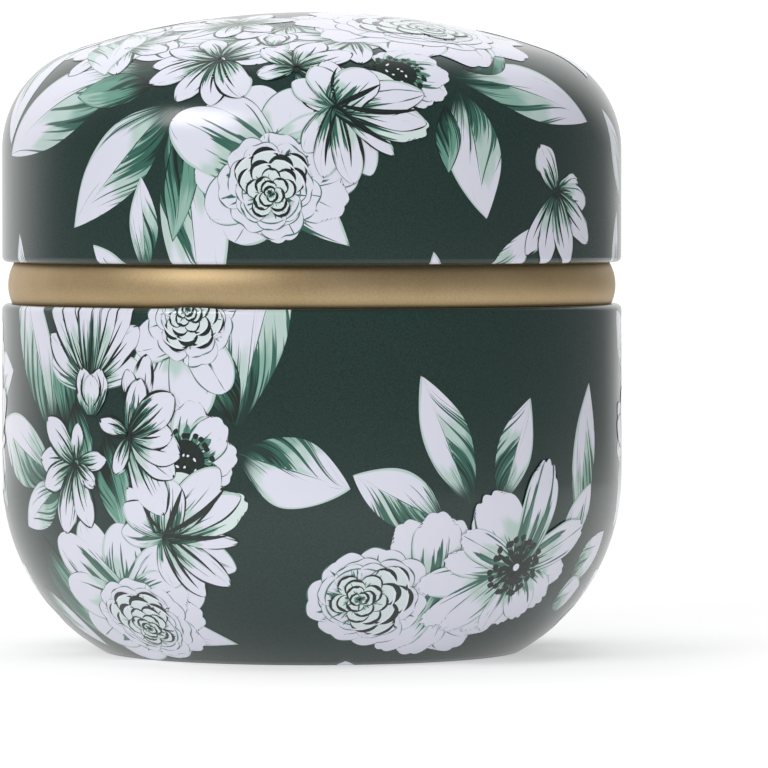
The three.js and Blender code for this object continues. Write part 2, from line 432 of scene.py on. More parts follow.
def turned_metal(name, colour, roughness, pitch):
    """Bare metal with the fine rings that a lathe leaves round the tin's axis, pitch metres apart."""
    material, tree = new_material(name)
    place = add(tree, "TexCoord", out="Object")
    turned = {"Vector": place, "Scale": 0.05 * math.tau / pitch, "Distortion": 0.4, "Detail": 1.0}
    rings = add(tree, "TexWave", turned, wave_type="RINGS", rings_direction="Z")
    smudge = add(tree, "TexNoise", {"Vector": place, "Scale": 400.0, "Detail": 3.0})
    rough = add(tree, "MapRange", {"Value": smudge, "To Min": roughness * 0.8, "To Max": roughness * 1.3})
    bump = add(tree, "Bump", {"Height": rings, "Strength": 0.15, "Distance": 0.00002})
    tone = add(tree, "Mix", {0: smudge, 6: linear(colour[0]), 7: linear(colour[1])}, 2, data_type="RGBA")
    surface = add(tree, "BsdfPrincipled", {
        "Base Color": tone, "Metallic": 1.0, "Roughness": rough, "Normal": bump,
    })
    add(tree, "OutputMaterial", {"Surface": surface})
    return material


def silicone():
    """Moulded white silicone rubber: matt, faintly translucent, with a fine dusty bloom."""
    material, tree = new_material("white_silicone")
    place = add(tree, "TexCoord", out="Object")
    bloom = add(tree, "TexNoise", {"Vector": place, "Scale": 900.0, "Detail": 3.0})
    colour = add(tree, "Mix", {0: bloom, 6: linear("#DAD7CF"), 7: linear("#ECEAE4")}, 2, data_type="RGBA")
    bump = add(tree, "Bump", {"Height": bloom, "Strength": 0.1, "Distance": 0.00003})
    surface = add(tree, "BsdfPrincipled", {
        "Base Color": colour, "Roughness": 0.62, "IOR": 1.41, "Normal": bump,
        "Subsurface Weight": 0.15, "Subsurface Scale": 0.0005,
    })
    add(tree, "OutputMaterial", {"Surface": surface})
    return material


# The inks in the order of a print's material slots: painted ones first, then the solid ones.
PETAL_INKS = {
    "leaf": dict(
        dark="#123029", reach=0.56, count=34, slant=0.35, half=0.32, hem=0.7, outline=(0.06, 0.06, 0.05),
        weight=0.26, root=0.22, rib=0.05,
    ),
    "dark_leaf": dict(
        light="#8FB0A5", wash=("#5F9080", "#2F6353", "#1C463B"), reach=1.0, count=24, slant=0.35, half=0.3,
        hem=0.4, outline=(0.16, 0.16, 0.12), weight=0.26, root=0.3, rib=0.05,
    ),
    "lily": dict(reach=0.74, count=12, hem=0.6, outline=(0.34, 0.3, 0.3), weight=0.36, root=0.08),
    "petal": dict(reach=0.66, count=14, hem=0.9, outline=(0.1, 0.26, 0.16), weight=0.34, root=0.05),
    "smooth": dict(dark="#47695F", reach=0.78, count=10, hem=0.7, outline=(0.1, 0.16, 0.1), weight=0.3),
    "rose": dict(dark="#3F6A5E", reach=0.84, count=14, hem=0.3, outline=(0.05, 0.05, 0.17)),
    "cup": dict(light="#CBD6D8", reach=0.8, count=12, hem=0.2, outline=(0.05, 0.05, 0.14), weight=0.4),
    "heart": dict(
        light="#C9D7D6", wash=("#93B5AB", "#568877", "#27584A"), reach=0.85, count=10, hem=0.2,
        outline=(0.08, 0.08, 0.2),
    ),
}
LINE_INKS = {
    "shade": ("#2F5F50", "#5D8F7F"),
    "line": ("#0A1513", "#152622"),
    "light": ("#D3D6E0", "#DCDEE8"),
}
INKS = [*PETAL_INKS, *LINE_INKS]


def ink_materials():
    """The inks' materials in the order of a print's slots, made the first time that they are asked for."""
    for ink in INKS:
        name = ink + "_ink"
        if name not in bpy.data.materials:
            if ink in PETAL_INKS:
                flower_ink(name, **PETAL_INKS[ink])
            else:
                line_ink(name, *LINE_INKS[ink])
    return [bpy.data.materials[ink + "_ink"] for ink in INKS]


def once(name, maker, *settings):
    """A material that several pieces wear, made the first time that one asks for it."""
    return bpy.data.materials.get(name) or maker(*settings)


def ground():
    return once("green_print_ink", green_print)


def lacquer():
    return once("gold_lacquered_tinplate", gold_lacquer)


def zinc():
    name = "zinc_plated_steel"
    return once(name, turned_metal, name, ("#AEB2B8", "#C0C2C0"), 0.34, 0.0004)


# ---- The printed sides of the tin --------------------------------------------------------------------


def arrived(centre, radius, r, z):
    """The closest point of a circle to (r, z) and the outward direction there."""
    away = Vector((r - centre[0], z - centre[1])).normalized()
    return Vector(centre) + away * radius, away


class BodySide:
    """The outside of the body. Distances up it run along the metal from the foot. The print ends just above
    the floor, and at the rim it bends round the roll."""

    heel = (OUTER - HEEL, math.sqrt(HEEL**2 - (FOOT - OUTER + HEEL) ** 2))
    heel_start = -math.asin(heel[1] / HEEL)
    heel_length = -HEEL * heel_start
    end = 0.03
    roll, sense = RIM - ROLL, 1
    body = "body"

    def reach(self, up):
        if up > self.heel_length:
            return OUTER, self.heel[1] + up - self.heel_length
        angle = self.heel_start + up / HEEL
        return self.heel[0] + HEEL * math.cos(angle), self.heel[1] + HEEL * math.sin(angle)

    def press(self, r, z):
        if z < self.heel[1]:
            return arrived(self.heel, HEEL, r, z)
        return Vector((OUTER, z)), Vector((1, 0))


class LidSide:
    """The outside of the lid. Distances up it run along the metal from its edge to the crown, which the
    print covers. At the edge it bends round the roll."""

    shoulder = (OUTER - SHOULDER, EDGE + LID_WALL)
    crown_radius, crown_height, meeting = crown_circle(CROWN, shoulder, SHOULDER)
    shoulder_end = LID_WALL + SHOULDER * math.radians(meeting)
    end = CROWN + 1
    roll, sense = EDGE + ROLL, -1
    body = "lid"

    def reach(self, up):
        if up < LID_WALL:
            return OUTER, EDGE + up
        if up < self.shoulder_end:
            centre, radius, angle = self.shoulder, SHOULDER, (up - LID_WALL) / SHOULDER
        else:
            centre, radius = (0, self.crown_height), self.crown_radius
            angle = math.radians(self.meeting) + (up - self.shoulder_end) / radius
        return centre[0] + radius * math.cos(angle), centre[1] + radius * math.sin(angle)

    def press(self, r, z):
        if math.degrees(math.atan2(z - self.crown_height, r)) > self.meeting:
            return arrived((0, self.crown_height), self.crown_radius, r, z)
        if z > self.shoulder[1]:
            return arrived(self.shoulder, SHOULDER, r, z)
        return Vector((OUTER, z)), Vector((1, 0))


# ---- Printing ----------------------------------------------------------------------------------------


def half_width(u, belly, base, end, point):
    """Width of a petal at u along it, as a share of its widest, which is at belly: base at its foot and
    end at its tip. A point below 1 gives a rounder tip and foot."""
    if u < belly:
        return base + (1 - base) * math.sin(math.pi / 2 * u / belly) ** point
    return end + (1 - end) * max(0.0, math.cos(math.pi / 2 * (u - belly) / (1 - belly))) ** point


class Print:
    """A bouquet's ink on one side of the tin. Each shape is a thin layer on the metal and on the shapes
    drawn before it, whose level is kept for each small block of space. Bouquets on one side share their
    levels."""

    BLOCK = 0.8

    def __init__(self, side, levels, seed, turn):
        self.side, self.levels, self.turn = side, levels, turn
        self.bm = bmesh.new()
        self.place = self.bm.verts.layers.float_vector.new("place")
        self.edges = self.bm.verts.layers.float_vector.new("edges")
        self.facing = self.bm.verts.layers.float_vector.new("facing")
        self.draws = random.Random(seed)
        look = bpy.context.scene.caddy_print
        self.cell, self.lift = look.cell / MM, look.ink_thickness / MM

    def pressed(self, point):
        """The closest point on the metal and the outward direction there."""
        r = math.hypot(point.x, point.y)
        (on_r, on_z), (out_r, out_z) = self.side.press(r, point.z)
        c, s = point.x / r, point.y / r
        return Vector((on_r * c, on_r * s, on_z)), Vector((out_r * c, out_r * s, out_z))

    def spot(self, azimuth, up):
        """A point on the metal. Azimuth is in degrees to the right of the front."""
        r, z = self.side.reach(up)
        angle = math.radians(azimuth + self.turn)
        return Vector((r * math.sin(angle), -r * math.cos(angle), z))

    def patch(self, ink, width, length, shape, side=1, rise=1.0):
        """Lays a grid of ink. shape(across, along) gives each point and its distances from the edges. rise
        is how far it lies above what it covers, in layers. A rise below 1 is left out of the levels."""
        columns = max(1, round(width / self.cell))
        rows = max(5, round(length / self.cell))
        verts = bmesh.ops.create_grid(self.bm, x_segments=columns, y_segments=rows, size=1)["verts"]
        seed = self.draws.uniform(0, 40)
        blocks = set()
        for vert in verts:
            across, along = vert.co.x, (1 - math.cos(math.pi * (vert.co.y + 1) / 2)) / 2
            point, edges = shape(across, along)
            vert.co, out = self.pressed(point)
            blocks.add(tuple(round(c / self.BLOCK) for c in vert.co))
            vert[self.place] = (along, across * side, seed)
            vert[self.edges] = edges if side > 0 else (edges[1], edges[0], edges[2])
            vert[self.facing] = out
        level = rise + max(self.levels.get(block, 0) for block in blocks)
        for vert in verts:
            vert.co += vert[self.facing] * self.lift * level
        if rise >= 1:
            self.levels.update(dict.fromkeys(blocks, level))
        for face in {face for vert in verts for face in vert.link_faces}:
            face.material_index = INKS.index(ink)

    def blade(self, base, tip, left, right, ink, belly=0.55, foot=0.0, end=0.0, point=1.0, bend=0.0,
              drop=0.0, notch=0.0, lobes=2, wave=0.0, side=1, rise=1.0):
        """A leaf, petal or brush stroke from one 3-D point to another, left and right wide at its belly,
        with half_width's outline. bend bows it to the right, drop rounds a wide tip, notch and lobes
        scallop it, wave ruffles its sides, and side -1 mirrors its ink."""
        run = tip - base
        _, out = self.pressed((base + tip) / 2)
        aside = run.cross(out).normalized()
        length = run.length
        phase = self.draws.uniform(0, math.tau)

        def shape(across, along):
            wide = half_width(along, belly, foot, end, point)
            wide *= 1 + wave * math.sin(along * 11 + phase + (2 if across > 0 else 0))
            x = across * wide * (right if across > 0 else left)
            dip = drop * across**2 + notch * (1 - abs(math.sin(math.pi / 2 * lobes * (across + 1))))
            y = along * (1 - dip * along**3)
            bow = bend * 4 * along * (1 - along)
            distances = (x + left * wide, right * wide - x, (1 - along) * length)
            return base + run * y + aside * (x + bow), distances

        self.patch(ink, left + right, length, shape, side, rise)

    def leaf(self, base, tip, left, right, shade=1, ink="leaf"):
        """A leaf between two spots (azimuth, up). shade is 1 if its right half is the dark one, or -1."""
        ends = self.spot(*base), self.spot(*tip)
        self.blade(*ends, left, right, ink, belly=0.48, foot=0.1, point=0.9, wave=0.02, side=shade)

    def leaves(self, *shapes):
        """Leaves in the order in which they are printed, each with the settings of a leaf."""
        for shape in shapes:
            self.leaf(*shape)

    def beyond(self, height, sense):
        """The faces that reach past a height, above it if sense is 1, with their edges and corners."""
        past = [vert for vert in self.bm.verts if sense * (vert.co.z - height) > 0]
        faces = {face for vert in past for face in vert.link_faces}
        edges = {edge for face in faces for edge in face.edges}
        corners = {vert for face in faces for vert in face.verts}
        return [*faces, *edges, *corners]

    def sliced(self, geometry, height, sense, clear):
        """Cuts faces at a height, clears what lies beyond it if asked, and returns what is left of them."""
        cut = bmesh.ops.bisect_plane(self.bm, geom=geometry, plane_co=(0, 0, height), plane_no=(0, 0, sense),
                                     clear_outer=clear)
        return cut["geom"]

    def roll_over(self):
        """Bends what reaches past the straight wall round the rolled edge, a sixth of a turn at the most."""
        start, sense = self.side.roll, self.side.sense
        reach = ROLL * math.tau / 6
        rolled = self.beyond(start, sense)
        for i in range(ROLL_CUTS + 1):
            rolled = self.sliced(rolled, start + sense * reach * i / ROLL_CUTS, sense, i == ROLL_CUTS)
        for vert in self.bm.verts:
            over = sense * (vert.co.z - start)
            if over > 0:
                r = math.hypot(vert.co.x, vert.co.y)
                outward, distance = vert.co / r, ROLL + r - OUTER
                c, s = math.cos(over / ROLL), sense * math.sin(over / ROLL)
                at = OUTER - ROLL + distance * c
                vert.co = (outward.x * at, outward.y * at, start + distance * s)
                vert[self.facing] = (outward.x * c, outward.y * c, s)

    def finish(self, name):
        """Trims the print at its side's end, bends it round the rolled edge and makes it a piece."""
        end, sense = self.side.end, -self.side.sense
        self.sliced(self.beyond(end, sense), end, sense, True)
        self.roll_over()
        bmesh.ops.remove_doubles(self.bm, verts=self.bm.verts, dist=INK_WELD)
        bmesh.ops.dissolve_degenerate(self.bm, dist=INK_WELD, edges=self.bm.edges)
        inks, body = ink_materials(), self.side.body
        piece = finished(self.bm, name, inks, body, closed=False)
        facing = [Vector(value.vector).normalized() for value in piece.data.attributes["facing"].data]
        piece.data.normals_split_custom_set_from_vertices(facing)


def print_bouquets(side, *bouquets):
    """Prints one side of the tin. Each bouquet is a piece's name, its maker, the seed of its random draws
    and its turn round the tin in degrees."""
    levels = {}
    for name, bouquet, seed, turn in bouquets:
        page = Print(side, levels, seed, turn)
        bouquet(page)
        page.finish(name)


class Bloom:
    """A flower drawn flat and pressed on the metal. Headings are in degrees clockwise from up, and lengths
    are shares of its size in mm."""

    def __init__(self, page, azimuth, up, size=1, heading=0.0):
        self.page, self.size, self.heading = page, size, heading
        self.centre = page.spot(azimuth, up)
        angle = math.radians(azimuth + page.turn)
        self.right = Vector((math.cos(angle), math.sin(angle), 0))
        self.up = page.pressed(self.centre)[1].cross(self.right).normalized()

    def at(self, heading, distance):
        """A point in the flower's own flat plane."""
        angle = math.radians(heading + self.heading)
        toward = self.right * math.sin(angle) + self.up * math.cos(angle)
        return self.centre + toward * distance * self.size

    def moved(self, heading, distance):
        """The same flower drawn on from another middle."""
        other = copy.copy(self)
        other.centre = self.at(heading, distance)
        return other

    def petal(self, heading, length, width, ink="petal", start=0.0, **form):
        """A petal from the middle out, or from start."""
        half = width * self.size / 2
        form = {"belly": 0.62, "foot": 0.2, "point": 0.6, **form}
        self.page.blade(self.at(heading, start), self.at(heading, start + length), half, half, ink, **form)

    def petals(self, ink, *shapes, **form):
        """Petals of one ink, each a (heading, length, width), each lying over the one before it."""
        for heading, length, width in shapes:
            self.petal(heading, length, width, ink, **form)

    def stroke(self, start, end, width, bend=0.0, ink="line", belly=0.4, rise=0.5):
        """A brush line between two (heading, distance) points."""
        half = width * self.size / 2
        self.page.blade(self.at(*start), self.at(*end), half, half, ink, belly=belly, foot=0.3,
                        point=0.8, bend=bend * self.size, rise=rise)

    def curl(self, heading, sweep, inner, outer, ink="rose", round_off=0.5, scallops=0, depth=0.0):
        """A petal seen as a crescent round the middle, sweep degrees to each side of its heading. A small
        round_off fills it out to its ends, and scallops of some depth ruffle its edge."""
        length, height = math.radians(2 * sweep) * outer * self.size, (outer - inner) * self.size

        def shape(across, along):
            full = max(0.0, 1 - across * across) ** round_off
            full *= 1 - depth * (1 - abs(math.sin(math.pi / 2 * scallops * (across + 1))))
            point = self.at(heading + across * sweep, inner + (outer - inner) * full * along)
            return point, ((1 + across) * length / 2, (1 - across) * length / 2, (1 - along) * height)

        self.page.patch(ink, length, height, shape)

    def fold(self, heading, sweep, outer, line, ink="cup"):
        """A small petal in a rose, with a brush line round it that is thickest at its tip."""
        self.curl(heading, sweep, outer * 0.15, outer + line, ink="line", round_off=0.52)
        self.curl(heading, sweep, outer * 0.15, outer, ink=ink, round_off=0.45)

    def stamens(self, count, inner, outer, width):
        """Dark stamens round the middle, each a brush line with a dot at its end."""
        draws = self.page.draws
        for i in range(count):
            angle = 360 * ((i + 0.5) / count - 0.5) + draws.uniform(-6, 6)
            reach = outer * draws.uniform(0.7, 1.0)
            self.stroke((angle, inner), (angle + draws.uniform(-8, 8), reach), width)
            self.stroke((angle - 4, reach), (angle + 6, reach + width * 1.6), width * 2.0)


# ---- The flowers -------------------------------------------------------------------------------------

# Forms of a petal: with a scalloped tip, and broad with a round one.
RUFFLED = {"notch": 0.045, "lobes": 2, "end": 0.66, "drop": 0.16, "foot": 0.4}
BROAD = {"belly": 0.6, "foot": 0.45, "point": 0.45}


def rose(bloom, turn):
    """A full rose: ruffled rings, folded petals with bold brush lines toward the heading turn, and a wound
    heart on the other side."""
    for i in range(7):
        bloom.curl(i * 51 + 12, 38, 0.3, 0.98 + 0.07 * (i % 2), round_off=0.3, scallops=2, depth=0.1)
    for i in range(6):
        bloom.curl(i * 60 + 40, 42, 0.25, 0.84 - 0.04 * (i % 2), round_off=0.36, scallops=2, depth=0.08)
    heart = bloom.moved(turn + 180, 0.18)
    for i in range(5):
        away = turn + 180 + (i - 2) * 52
        heart.curl(away, 42, 0.2, 0.68 - 0.04 * (i % 2), round_off=0.4, scallops=2, depth=0.05)
        heart.curl(away, 30, 0.52, 0.55, ink="shade", round_off=0.9)
    for lean, outer, line in (
        (-46, 0.82, 0.03), (40, 0.84, 0.05), (-10, 0.8, 0.07), (58, 0.66, 0.06), (-58, 0.64, 0.05),
        (20, 0.66, 0.09), (-24, 0.58, 0.08), (44, 0.52, 0.06),
    ):
        heart.fold(turn + lean, 36, outer, line)
        heart.curl(turn + lean + 6, 22, outer - 0.05, outer - 0.01, ink="light", round_off=0.8)
    rings = (5, 0.45, "cup"), (4, 0.34, "heart"), (3, 0.23, "cup"), (2, 0.13, "heart")
    for i, (count, outer, ink) in enumerate(rings):
        for j in range(count):
            heart.fold(turn + 360 * j / count + 50 * i, 210 / count, outer, 0.03, ink)


def lily(bloom, *petals, ink="lily"):
    """A loose blossom of streaked petals with dark lines, each petal a (heading, length, width) in mm."""
    for heading, length, width in petals:
        bloom.petal(heading, length, width, ink, start=0.4)
        bloom.stroke((heading + 9, 0.6), (heading + 2, length * 0.78), 0.34, bend=0.3)
        bloom.stroke((heading - 14, 0.5), (heading - 9, length * 0.52), 0.24, bend=-0.25)
    bloom.stroke((0, 0.1), (180, 0.9), 0.7)


def anemone(bloom):
    """A deep flower from its side, in mm: its cup stands on its middle, its stamens lie 10.5 mm further,
    and two petals hang down behind it."""
    bloom.petals("smooth", (100, 11, 5), (160, 8, 4), (-110, 7, 4))
    eye = bloom.moved(0, 10.5)
    eye.petals(
        "smooth", (-62, 6.6, 5.2), (-38, 8.2, 5.5), (89, 7.2, 5.2), (-8, 8.4, 6.2), (64, 8.0, 5.4),
        (30, 8.2, 6), **RUFFLED,
    )
    for i in range(9):
        eye.stroke((i * 24 - 90, 1.6), (i * 24 - 86, 4.0 + i % 2), 1.1, ink="shade", belly=0.7)
    eye.curl(180, 180, 0.0, 2.9, ink="line", round_off=0.0)
    eye.stamens(26, 0.8, 3.9, width=0.42)
    for i in range(7):
        eye.stroke((i * 52, 0.7 + i % 3 * 0.6), (i * 52 + 22, 1.0 + i % 3 * 0.6), 0.34, ink="light", rise=1.0)
    bloom.curl(22, 60, 0.5, 9.5, ink="heart", round_off=0.4)
    bloom.petals("lily", (137, 10.4, 4), (114, 11.4, 4.4), (-62, 8.4, 3.8), (78, 10.6, 2.6))
    bloom.stroke((130, 1), (137, 8.8), 0.5, bend=0.4)
    bloom.stroke((108, 1), (114, 9), 0.4, bend=-0.4)
    bloom.petal(50, 13.4, 6.0, "heart", **RUFFLED)
    bloom.petal(46, 12, 4.0, "petal", start=0.6)
    bloom.petal(-78, 7.4, 4.2, "petal")
    bloom.petal(24, 12.4, 5.6, "petal", belly=0.55)
    bloom.petal(-14, 7.6, 6.2, "petal", **BROAD)
    bloom.stroke((37, 0.6), (35, 11.8), 0.8, bend=0.9)
    bloom.stroke((-52, 0.3), (-50, 6.6), 0.5, bend=-0.7)
    bloom.stroke((90, 0.2), (72, 9.5), 0.7, bend=0.4)
    bloom.stroke((9, 0.2), (6, 7.0), 0.8, bend=0.2)


def cosmos(bloom):
    """An open flower, in mm: broad notched petals of uneven length round a dark eye with a white dot."""
    form = {"start": 0.5, "drop": 0.1, "end": 0.6, "foot": 0.3, "lobes": 3}
    for heading, length, width, notch in (
        (257, 15.5, 5.4, 0.04), (171, 9.6, 5.4, 0.05), (231, 15.6, 5.4, 0.05), (202, 11.6, 4.6, 0.05),
        (100, 10.4, 5, 0.04), (217, 13.6, 5.0, 0.05), (186, 10.6, 4.2, 0.05), (128, 10.2, 6, 0.07),
        (150, 9.8, 5.4, 0.06), (70, 14, 5.6, 0.05), (-86, 12, 4.4, 0.04), (-36, 12.6, 9.0, 0.06),
        (-66, 11, 4.6, 0.03), (17, 15.8, 6.6, 0.05),
    ):
        bloom.petal(heading, length, width, "smooth", notch=notch, **form)
        bloom.stroke((heading - 9, 2.6), (heading - 10, length * 0.62), 0.34, bend=-0.2, ink="shade")
        bloom.stroke((heading + 6, 2.6), (heading + 5, length * 0.42), 0.2)
    bloom.curl(0, 180, 0.0, 2.4, ink="shade", round_off=0.0)
    bloom.stamens(30, 0.8, 4.1, width=0.5)
    bloom.stamens(14, 0.4, 2.4, width=0.5)
    bloom.curl(0, 180, 0.0, 0.55, ink="light", round_off=0.0)


def bud(bloom):
    """A closed bud: petals folded over each other with dark lines between them."""
    bloom.petals("lily", (-16, 1.0, 0.6), (16, 1.0, 0.6))
    bloom.petal(0, 0.84, 0.5, "petal")
    bloom.stroke((-20, 0.2), (-10, 0.9), 0.06, bend=-0.16)
    bloom.stroke((20, 0.2), (10, 0.9), 0.06, bend=0.16)


# ---- The bouquets ------------------------------------------------------------------------------------
# Places are (azimuth in degrees to the right of the bouquet's own front, millimetres up the metal).


def body_left_bouquet(page):
    """The tall bouquet: roses above and below, blossoms and a deep anemone between, leaves all round."""
    page.leaves(
        ((-61, 22), (-52, 2), 3.8, 3.4, 1, "dark_leaf"), ((-70, 14), (-62, 3), 2.4, 2.4),
        ((-54, 36), (-68, 61), 4.6, 4.0, -1), ((-50, 36), (-52, 52), 2.6, 2.6, 1, "dark_leaf"),
        ((-13.5, 37.5), (-4.5, 63), 5.0, 3.6), ((-14, 38), (-19, 50), 2.6, 2.6, 1, "dark_leaf"),
        ((-54, 30), (-80, 37), 4.6, 4.4, -1), ((-52, 29), (-66, 23), 3.0, 3.0, -1),
        ((-13, 33.8), (6.8, 29.2), 4.4, 5.0, -1), ((-40, 36), (-36.5, 23), 2.8, 2.8, 1, "dark_leaf"),
        ((-48, 40), (-45, 30), 2.4, 2.4, 1, "dark_leaf"),
    )

    skirt = Bloom(page, -40, 11.5, 10)
    skirt.petals(
        "smooth", (-20, 1.5, 0.7), (10, 1.4, 0.7), (-46, 1.55, 0.8), (205, 1.3, 0.9), (235, 1.25, 0.9),
        (-80, 1.2, 0.8), (165, 1.1, 0.8), (45, 1.4, 0.6), (80, 1.3, 0.6), **BROAD,
    )
    skirt.petal(122, 1.6, 0.6, "smooth", point=1.0, belly=0.4)
    skirt.petals("smooth", (100, 1.15, 0.8), (135, 1.15, 0.8), (70, 1.1, 0.8), **RUFFLED)
    rose(Bloom(page, -38.5, 9.5, 7.6), -15)

    upper = Bloom(page, -22, 50.5)
    upper.petals("smooth", (228, 12, 6), (203, 13, 6.4), (178, 12.5, 7), (150, 10, 6), (250, 9, 6), **BROAD)
    rose(Bloom(page, -22, 51.5, 6.4), 160)

    rim = Bloom(page, -44, 43)
    rim.petals("smooth", (-72, 8.5, 4.4), (75, 9, 4), **BROAD)
    lily(
        rim, (-54, 10, 4.6), (50, 11, 4.4), (-36, 13, 4), (34, 13, 4), (-20, 15, 4.4), (18, 14, 4.4),
        (0, 15, 4.6),
    )
    anemone(Bloom(page, -27.5, 23, heading=19))
    lily(Bloom(page, -33, 37.5), (10, 9, 3.4), (-12, 7, 3))
    lily(
        Bloom(page, -47.5, 32), (-88, 8.0, 4.2), (-114, 7.6, 4.0), (198, 9.8, 4.6), (165, 8.6, 4.2),
        (-48, 8.4, 4.6), (84, 5.4, 3), (3, 5, 2.8), (130, 4.4, 2.6),
    )
    lily(
        Bloom(page, -34.5, 36), (153, 11.4, 5.4), (128, 8.5, 4.6), (108, 8, 5), (204, 5.4, 2.8),
        (88, 6.4, 4.2), (14, 7.4, 4), (52, 8.4, 5), (-70, 5, 2.8),
    )
    bud(Bloom(page, -43.5, 38.4, 6.6))


def body_right_bouquet(page):
    """The low bouquet: an open cosmos beside a rose, with long leaves standing up behind them."""
    page.leaves(
        ((29.5, 27), (19.6, 44), 3.2, 3.6), ((36, 27), (43, 40.8), 3.2, 2.8, -1),
        ((57.5, 23), (61, 42.5), 3.0, 3.0), ((24, 24.5), (7.2, 31), 3.4, 4.0, -1),
        ((53, 20), (62, 29), 2.4, 2.4), ((62, 15), (72, 22), 3.0, 3.0, -1), ((60, 12), (70, 14), 3.0, 3.0),
    )

    back = Bloom(page, 24, 15, 10)
    back.petals(
        "smooth", (-30, 1.2, 0.7), (12, 1.1, 0.7), (-4, 1.2, 0.75), (150, 1.5, 0.8), (125, 1.5, 0.8),
        (108, 1.4, 0.7), (178, 1.35, 0.8), (200, 1.3, 0.7), **RUFFLED,
    )
    rose(Bloom(page, 11.5, 13.5, 8.6), 105)
    cosmos(Bloom(page, 42, 18))
    page.leaf((9, -2.5), (8.6, 1.2), 1.6, 1.6, 1)


def body_filling(page):
    """A blossom with leaves that closes the gap between two bouquets."""
    page.leaves(
        ((-2, 36), (-10, 22), 3.4, 3.4), ((2, 36), (12, 25), 3.2, 3.4, -1, "dark_leaf"),
        ((2, 42), (18, 44), 3.4, 3.0), ((-3, 44), (-13, 52), 3.0, 3.0, -1),
        ((0, 10), (-12, 16), 3.0, 3.0, -1), ((0, 10), (11, 17), 3.0, 3.0),
    )
    lily(
        Bloom(page, 0, 9), (-40, 7, 4), (30, 7.4, 4), (95, 7, 4), (150, 6.5, 3.8), (-105, 7, 4),
        (-160, 6, 3.6),
    )
    anemone(Bloom(page, -3, 34, heading=10))


def lid_bouquet(page):
    """The wreath that hangs from the crown over the lid's shoulder."""
    page.leaves(
        ((-34, 27), (-73, 14.5), 4.8, 4.6, -1), ((-32, 24), (-50, 22.5), 2.8, 2.8, 1, "dark_leaf"),
        ((-26, 21), (-48, 4.8), 4.0, 4.6, -1), ((-31, -0.8), (-32, 11.6), 2.2, 2.2),
        ((-33, -4), (-43, 2.6), 1.8, 1.8, -1), ((-66, -6), (-68, 4), 1.6, 1.6),
        ((-24, 21), (-19.5, -9), 5.0, 4.4), ((-22, 20), (-25.5, 3), 2.4, 2.4, 1, "dark_leaf"),
        ((29, 25.5), (61.5, 19), 4.8, 3.6), ((32, 27), (46, 30), 2.6, 2.6, 1, "dark_leaf"),
        ((28.5, 23), (32.8, 6), 3.8, 4.2, -1), ((25, 21), (25, 12), 1.8, 1.8, 1, "dark_leaf"),
        ((32, -6), (43, 4.8), 2.4, 2.4, -1), ((24, -5), (22, 1.8), 1.2, 1.2), ((82, 8), (71, 21), 2.4, 2.4),
        ((74, -4), (77, 7), 1.8, 1.8),
    )

    for azimuth, up in ((-72, 40), (-44, 38), (-16, 38), (12, 42)):
        bed = Bloom(page, azimuth, up, 10)
        for heading in range(0, 360, 60):
            bed.petal(heading + azimuth, 1.1, 0.95, "petal", **BROAD)
    lily(
        Bloom(page, -8, 44), (-90, 10, 4.6), (-40, 10, 4.4), (15, 9, 4.4), (70, 10, 4.4), (120, 10, 4.4),
        (170, 9, 4.4), (-140, 9, 4.4),
    )
    lily(
        Bloom(page, -75, 44), (-90, 9, 4.4), (-20, 9, 4.4), (40, 9, 4.4), (100, 9, 4.4), (160, 8, 4),
        (-145, 8, 4),
    )
    lily(
        Bloom(page, 10, 36), (-70, 9, 4.4), (-20, 8, 4.4), (60, 9, 4.4), (110, 9, 4.4), (180, 8, 4.4),
        (-130, 8, 4.4),
    )
    around = Bloom(page, 36, 43, 12)
    for heading in range(0, 360, 40):
        around.petal(heading + 20, 1.4, 0.9, "smooth", **RUFFLED)
    rose(Bloom(page, 36, 43, 11.5), -30)
    lily(
        Bloom(page, -48, 33), (-100, 10, 4.4), (-66, 9, 4.2), (-136, 9.4, 4.2), (-20, 9, 4.2), (40, 8, 4),
        (150, 8, 4.2), (95, 8, 4),
    )
    lily(
        Bloom(page, -28, 45), (-100, 9, 4.4), (-50, 9, 4.2), (-150, 9, 4.2), (0, 9, 4.2), (55, 8, 4),
        (120, 8, 4.2), (165, 8, 4),
    )

    skirt = Bloom(page, -8, 12.5, 10)
    skirt.petals(
        "smooth", (-8, 1.3, 0.7), (20, 1.3, 0.7), (205, 1.05, 0.9), (-95, 1.0, 0.7), (-36, 1.3, 0.8),
        (-62, 1.55, 0.9), (232, 1.0, 0.7), (55, 1.2, 0.7), (95, 1.25, 0.7), **BROAD,
    )
    skirt.petal(132, 1.5, 0.62, "smooth", point=1.0, belly=0.4)
    skirt.petals("smooth", (165, 1.0, 0.8), (115, 1.2, 0.8), (75, 1.25, 0.8), **RUFFLED)
    rose(Bloom(page, -7.2, 10.6, 7.2), 0)

    lily(
        Bloom(page, -19, 29), (-92, 9.6, 4.2), (-112, 10.2, 4.2), (-148, 9, 4), (178, 8.6, 4.2),
        (148, 8.2, 5), (-66, 9, 4), (-30, 8, 4), (20, 8, 4), (60, 7, 4),
    )
    lily(
        Bloom(page, -3, 27), (150, 8, 4.2), (105, 9.6, 4.8), (125, 9.4, 4.6), (-40, 7, 4), (20, 8, 4.4),
        (60, 8, 4), (-100, 5, 3),
    )
    anemone(Bloom(page, 4.5, 21, heading=54))
    bud(Bloom(page, -9, 33, 6.0))

    sprig = Bloom(page, 50, 9.5)
    lily(
        sprig, (-28, 6.8, 4.2), (72, 5, 3.2), (100, 7, 4), (216, 10, 3.4), (130, 10, 4.2), (196, 10, 4),
        (165, 10, 4.4),
    )


